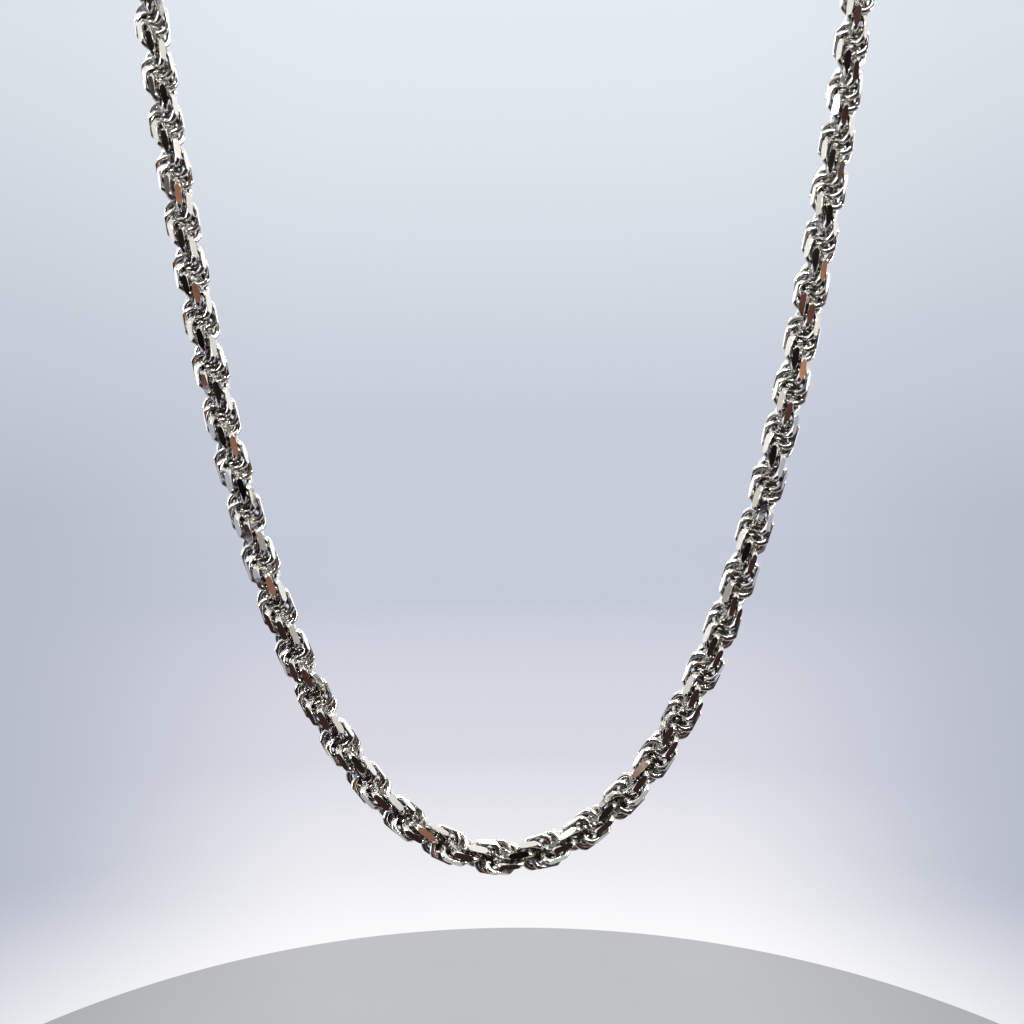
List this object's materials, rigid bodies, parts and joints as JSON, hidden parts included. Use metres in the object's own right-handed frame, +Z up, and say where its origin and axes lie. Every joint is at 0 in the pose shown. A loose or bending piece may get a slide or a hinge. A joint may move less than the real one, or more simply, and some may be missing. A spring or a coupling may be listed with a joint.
{
  "type": "chain necklace",
  "caption": "Diamond-cut rope chain necklace hanging as a closed loop, with end caps, jump rings and a lobster clasp at the neck.",
  "frame": {"origin": "where the top middle of the loop rests on the neck: on the loop's middle plane, level with the clasp's flat underside", "axes": "+Z up along the hanging loop, +Y through the loop's thickness, away from a viewer who faces the necklace's front, +X across the loop to that viewer's right"},
  "size_m": [0.1018, 0.0083, 0.2155],
  "materials": {
    "rope_silver": "polished, with diamond-cut facets",
    "cast_silver": "polished",
    "spring_steel": "drawn"
  },
  "bodies": {
    "held_neck_loop": {"left_rope_length_15": "rope_silver", "left_rope_length_16": "rope_silver", "left_rope_length_17": "rope_silver", "left_rope_length_18": "rope_silver", "left_rope_length_19": "rope_silver", "left_rope_length_20": "rope_silver", "right_rope_length_15": "rope_silver", "right_rope_length_16": "rope_silver", "right_rope_length_17": "rope_silver", "right_rope_length_18": "rope_silver", "right_rope_length_19": "rope_silver", "right_rope_length_20": "rope_silver", "left_end_cap": "cast_silver", "right_end_cap": "cast_silver"},
    "left_length_14": {"left_rope_length_14": "rope_silver"},
    "right_length_14": {"right_rope_length_14": "rope_silver"},
    "left_length_13": {"left_rope_length_13": "rope_silver"},
    "right_length_13": {"right_rope_length_13": "rope_silver"},
    "left_length_12": {"left_rope_length_12": "rope_silver"},
    "right_length_12": {"right_rope_length_12": "rope_silver"},
    "left_length_11": {"left_rope_length_11": "rope_silver"},
    "right_length_11": {"right_rope_length_11": "rope_silver"},
    "left_length_10": {"left_rope_length_10": "rope_silver"},
    "right_length_10": {"right_rope_length_10": "rope_silver"},
    "left_length_09": {"left_rope_length_09": "rope_silver"},
    "right_length_09": {"right_rope_length_09": "rope_silver"},
    "left_length_08": {"left_rope_length_08": "rope_silver"},
    "right_length_08": {"right_rope_length_08": "rope_silver"},
    "left_length_07": {"left_rope_length_07": "rope_silver"},
    "right_length_07": {"right_rope_length_07": "rope_silver"},
    "left_length_06": {"left_rope_length_06": "rope_silver"},
    "right_length_06": {"right_rope_length_06": "rope_silver"},
    "left_length_05": {"left_rope_length_05": "rope_silver"},
    "right_length_05": {"right_rope_length_05": "rope_silver"},
    "left_length_04": {"left_rope_length_04": "rope_silver"},
    "right_length_04": {"right_rope_length_04": "rope_silver"},
    "left_length_03": {"left_rope_length_03": "rope_silver"},
    "right_length_03": {"right_rope_length_03": "rope_silver"},
    "left_length_02": {"left_rope_length_02": "rope_silver"},
    "right_length_02": {"right_rope_length_02": "rope_silver"},
    "left_length_01": {"left_rope_length_01": "rope_silver"},
    "right_length_01": {"right_rope_length_01": "rope_silver"},
    "clasp_ring": {"clasp_jump_ring": "cast_silver"},
    "clasp": {"lobster_clasp_body": "cast_silver", "rivet_pin": "cast_silver", "lever_spring": "spring_steel"},
    "lever": {"trigger_lever": "cast_silver"},
    "catch_ring": {"catch_jump_ring": "cast_silver"}
  },
  "joints": [
    {"name": "left_swing_14", "type": "hinge", "parent": "held_neck_loop", "child": "left_length_14", "pos_m": [-0.04838, 0, -0.05554], "axis": [1, 0, 0], "range_deg": [-40, 40]},
    {"name": "right_swing_14", "type": "hinge", "parent": "held_neck_loop", "child": "right_length_14", "pos_m": [0.04838, 0, -0.05554], "axis": [1, 0, 0], "range_deg": [-40, 40]},
    {"name": "left_sway_13", "type": "hinge", "parent": "left_length_14", "child": "left_length_13", "pos_m": [-0.04722, 0, -0.06751], "axis": [0, 1, 0], "range_deg": [-20, 20]},
    {"name": "right_sway_13", "type": "hinge", "parent": "right_length_14", "child": "right_length_13", "pos_m": [0.04722, 0, -0.06751], "axis": [0, 1, 0], "range_deg": [-20.1, 20.1]},
    {"name": "left_sway_12", "type": "hinge", "parent": "left_length_13", "child": "left_length_12", "pos_m": [-0.04596, 0, -0.07948], "axis": [0, 1, 0], "range_deg": [-20.7, 20.7]},
    {"name": "right_sway_12", "type": "hinge", "parent": "right_length_13", "child": "right_length_12", "pos_m": [0.04596, 0, -0.07948], "axis": [0, 1, 0], "range_deg": [-20.7, 20.7]},
    {"name": "left_fold_11", "type": "hinge", "parent": "left_length_12", "child": "left_length_11", "pos_m": [-0.04459, 0, -0.09144], "axis": [-1, 0, 0], "range_deg": [-40, 40]},
    {"name": "right_fold_11", "type": "hinge", "parent": "right_length_12", "child": "right_length_11", "pos_m": [0.04459, 0, -0.09144], "axis": [-1, 0, 0], "range_deg": [-40, 40]},
    {"name": "left_fold_10", "type": "hinge", "parent": "left_length_11", "child": "left_length_10", "pos_m": [-0.0431, 0, -0.10338], "axis": [-1, 0, 0], "range_deg": [-40, 40]},
    {"name": "right_fold_10", "type": "hinge", "parent": "right_length_11", "child": "right_length_10", "pos_m": [0.0431, 0, -0.10338], "axis": [-1, 0, 0], "range_deg": [-40, 40]},
    {"name": "left_fold_09", "type": "hinge", "parent": "left_length_10", "child": "left_length_09", "pos_m": [-0.04145, 0, -0.1153], "axis": [1, 0, 0], "range_deg": [-40, 40]},
    {"name": "right_fold_09", "type": "hinge", "parent": "right_length_10", "child": "right_length_09", "pos_m": [0.04145, 0, -0.1153], "axis": [1, 0, 0], "range_deg": [-40, 40]},
    {"name": "left_fold_08", "type": "hinge", "parent": "left_length_09", "child": "left_length_08", "pos_m": [-0.03961, 0, -0.1272], "axis": [1, 0, 0], "range_deg": [-40, 40]},
    {"name": "right_fold_08", "type": "hinge", "parent": "right_length_09", "child": "right_length_08", "pos_m": [0.03961, 0, -0.1272], "axis": [1, 0, 0], "range_deg": [-40, 40]},
    {"name": "left_fold_07", "type": "hinge", "parent": "left_length_08", "child": "left_length_07", "pos_m": [-0.03753, 0, -0.13905], "axis": [-1, 0, 0], "range_deg": [-40, 40]},
    {"name": "right_fold_07", "type": "hinge", "parent": "right_length_08", "child": "right_length_07", "pos_m": [0.03753, 0, -0.13905], "axis": [-1, 0, 0], "range_deg": [-40, 40]},
    {"name": "left_fold_06", "type": "hinge", "parent": "left_length_07", "child": "left_length_06", "pos_m": [-0.03515, 0, -0.15085], "axis": [-1, 0, 0], "range_deg": [-40, 40]},
    {"name": "right_fold_06", "type": "hinge", "parent": "right_length_07", "child": "right_length_06", "pos_m": [0.03515, 0, -0.15085], "axis": [-1, 0, 0], "range_deg": [-40, 40]},
    {"name": "left_fold_05", "type": "hinge", "parent": "left_length_06", "child": "left_length_05", "pos_m": [-0.03235, 0, -0.16255], "axis": [1, 0, 0], "range_deg": [-40, 40]},
    {"name": "right_fold_05", "type": "hinge", "parent": "right_length_06", "child": "right_length_05", "pos_m": [0.03235, 0, -0.16255], "axis": [1, 0, 0], "range_deg": [-40, 40]},
    {"name": "left_fold_04", "type": "hinge", "parent": "left_length_05", "child": "left_length_04", "pos_m": [-0.02896, 0, -0.1741], "axis": [1, 0, 0], "range_deg": [-40, 40]},
    {"name": "right_fold_04", "type": "hinge", "parent": "right_length_05", "child": "right_length_04", "pos_m": [0.02896, 0, -0.1741], "axis": [1, 0, 0], "range_deg": [-40, 40]},
    {"name": "left_fold_03", "type": "hinge", "parent": "left_length_04", "child": "left_length_03", "pos_m": [-0.02472, 0, -0.18535], "axis": [-1, 0, 0], "range_deg": [-40, 40]},
    {"name": "right_fold_03", "type": "hinge", "parent": "right_length_04", "child": "right_length_03", "pos_m": [0.02472, 0, -0.18535], "axis": [-1, 0, 0], "range_deg": [-40, 40]},
    {"name": "left_fold_02", "type": "hinge", "parent": "left_length_03", "child": "left_length_02", "pos_m": [-0.01908, 0, -0.19597], "axis": [-1, 0, 0], "range_deg": [-25, 25]},
    {"name": "right_fold_02", "type": "hinge", "parent": "right_length_03", "child": "right_length_02", "pos_m": [0.01908, 0, -0.19597], "axis": [-1, 0, 0], "range_deg": [-25, 25]},
    {"name": "left_fold_01", "type": "hinge", "parent": "left_length_02", "child": "left_length_01", "pos_m": [-0.0111, 0, -0.2049], "axis": [1, 0, 0], "range_deg": [-15, 15]},
    {"name": "right_fold_01", "type": "hinge", "parent": "right_length_02", "child": "right_length_01", "pos_m": [0.0111, 0, -0.2049], "axis": [1, 0, 0], "range_deg": [-15, 15]},
    {"name": "clasp_ring_lift", "type": "hinge", "parent": "held_neck_loop", "child": "clasp_ring", "pos_m": [-0.01066, 0, 0.00099], "axis": [0, -1, 0], "range_deg": [0, 8]},
    {"name": "clasp_level", "type": "hinge", "parent": "clasp_ring", "child": "clasp", "pos_m": [-0.00615, 0, 0.0012], "axis": [0, -1, 0], "range_deg": [-8.1, 0]},
    {"name": "catch_ring_lift", "type": "hinge", "parent": "held_neck_loop", "child": "catch_ring", "pos_m": [0.01066, 0, 0.00099], "axis": [0, -1, 0], "range_deg": [-6.4, 0]},
    {"name": "trigger_pivot", "type": "hinge", "parent": "clasp", "child": "lever", "pos_m": [-0.0019, 0.0015, 0.0012], "axis": [0, 0, -1], "range_deg": [0, 22], "stiffness_Nm_per_rad": 0.005, "springref_deg": -11.46}
  ],
  "couplings": [
    {"joint": "right_swing_14", "follows": "left_swing_14", "ratio": 1},
    {"joint": "right_sway_13", "follows": "left_sway_13", "ratio": 1},
    {"joint": "left_sway_12", "follows": "left_sway_13", "ratio": -1.027},
    {"joint": "right_sway_12", "follows": "left_sway_13", "ratio": -1.027},
    {"joint": "right_fold_11", "follows": "left_fold_11", "ratio": 1},
    {"joint": "right_fold_10", "follows": "left_fold_10", "ratio": 1},
    {"joint": "right_fold_09", "follows": "left_fold_09", "ratio": 1},
    {"joint": "right_fold_08", "follows": "left_fold_08", "ratio": 1},
    {"joint": "right_fold_07", "follows": "left_fold_07", "ratio": 1},
    {"joint": "right_fold_06", "follows": "left_fold_06", "ratio": 1},
    {"joint": "right_fold_05", "follows": "left_fold_05", "ratio": 1},
    {"joint": "right_fold_04", "follows": "left_fold_04", "ratio": 1},
    {"joint": "right_fold_03", "follows": "left_fold_03", "ratio": 1},
    {"joint": "right_fold_02", "follows": "left_fold_02", "ratio": 1},
    {"joint": "right_fold_01", "follows": "left_fold_01", "ratio": 1},
    {"joint": "clasp_level", "follows": "clasp_ring_lift", "ratio": -1},
    {"joint": "catch_ring_lift", "follows": "clasp_ring_lift", "ratio": -0.757}
  ]
}
